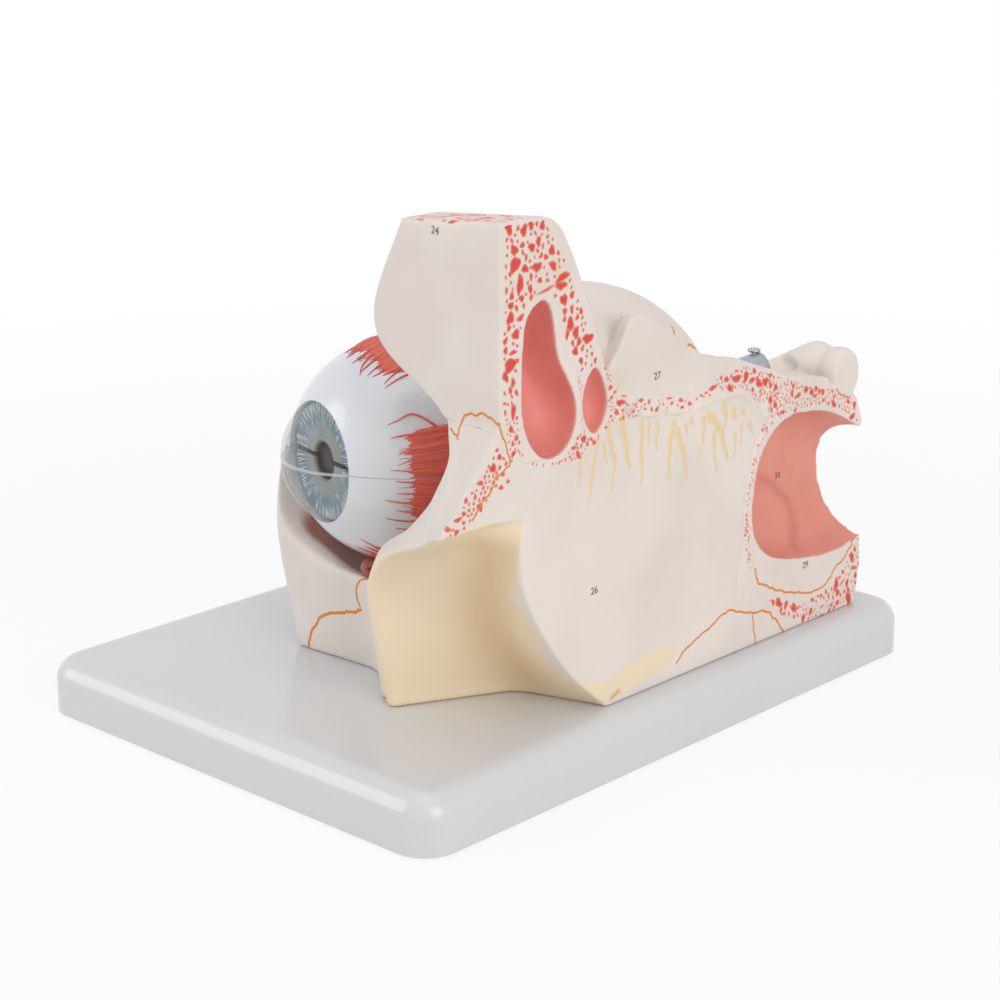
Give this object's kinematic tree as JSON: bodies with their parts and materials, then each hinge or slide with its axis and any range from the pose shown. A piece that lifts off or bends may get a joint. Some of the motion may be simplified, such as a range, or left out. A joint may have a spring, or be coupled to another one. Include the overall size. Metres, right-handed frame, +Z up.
{
  "type": "eye anatomy model",
  "caption": "Enlarged take-apart model of a human eye in its bony orbit, cut at the median plane, on a flat rectangular base.",
  "frame": {"origin": "centre of the base's footprint, on the plane of the feet's undersides", "axes": "+X towards the sawn median face, +Y from the face to the back of the head, +Z up"},
  "size_m": [0.19, 0.26, 0.1894],
  "materials": {
    "white_base": "smooth white gloss",
    "black_rubber": "matte black rubber",
    "screw_steel": "zinc plated",
    "frontal_bone": "painted satin ivory with red spongy bone on the sawn faces",
    "facial_bone": "painted satin ivory",
    "cartilage": "painted satin tan",
    "septum": "painted satin off-white with yellow fibres",
    "sphenoid_bone": "painted satin ivory, salmon sinus",
    "nerve": "satin blue-grey",
    "eyelet_metal": "plain rolled metal",
    "sclera": "glossy bluish white",
    "pin_plastic": "moulded pins",
    "cornea": "clear transparent plastic",
    "choroid": "dark maroon with red vessels",
    "retina": "orange with fine vessels",
    "iris": "grey-blue with white rays",
    "ciliary_body": "dark brown folds",
    "lens": "clear transparent plastic",
    "vitreous": "clear transparent plastic",
    "muscle": "striated coral red"
  },
  "bodies": {
    "orbit": {"base_plate": "white_base", "rubber_feet": "black_rubber", "fixing_screws": "screw_steel", "frontal_bone": "frontal_bone", "nasal_bone": "facial_bone", "maxilla": "facial_bone", "zygomatic_bone": "facial_bone", "septal_cartilage": "cartilage", "nasal_septum": "septum", "crista_galli": "septum", "orbital_roof": "frontal_bone", "sphenoid_bone": "sphenoid_bone", "inferior_oblique": "muscle", "optic_nerve": "nerve", "nerve_eyelet": "eyelet_metal"},
    "eye_lower": {"sclera_lower": "sclera", "cornea_lower": "cornea", "sclera_pins": "pin_plastic", "inferior_rectus": "muscle", "medial_rectus_lower": "muscle", "lateral_rectus_lower": "muscle"},
    "inner_eye_lower": {"choroid_lower": "choroid", "retina_lower": "retina", "ciliary_body_lower": "ciliary_body", "iris_lower": "iris", "choroid_pins": "pin_plastic"},
    "vitreous": {"vitreous_body": "vitreous"},
    "lens": {"lens": "lens"},
    "inner_eye_upper": {"choroid_upper": "choroid", "retina_upper": "retina", "ciliary_body_upper": "ciliary_body", "iris_upper": "iris"},
    "eye_upper": {"sclera_upper": "sclera", "cornea_upper": "cornea", "superior_rectus": "muscle", "medial_rectus_upper": "muscle", "lateral_rectus_upper": "muscle"}
  },
  "joints": [
    {"name": "eye_lift", "type": "slide", "parent": "orbit", "child": "eye_lower", "axis": [0, 0, 1], "range_m": [0, 0.09]},
    {"name": "inner_eye_lift", "type": "slide", "parent": "eye_lower", "child": "inner_eye_lower", "axis": [0, 0, 1], "range_m": [0, 0.045]},
    {"name": "vitreous_lift", "type": "slide", "parent": "inner_eye_lower", "child": "vitreous", "axis": [0, 0, 1], "range_m": [0, 0.04]},
    {"name": "lens_lift", "type": "slide", "parent": "vitreous", "child": "lens", "axis": [0, 0, 1], "range_m": [0, 0.03]},
    {"name": "inner_eye_upper_lift", "type": "slide", "parent": "lens", "child": "inner_eye_upper", "axis": [0, 0, 1], "range_m": [0, 0.04]},
    {"name": "eye_upper_lift", "type": "slide", "parent": "inner_eye_upper", "child": "eye_upper", "axis": [0, 0, 1], "range_m": [0, 0.045]}
  ]
}
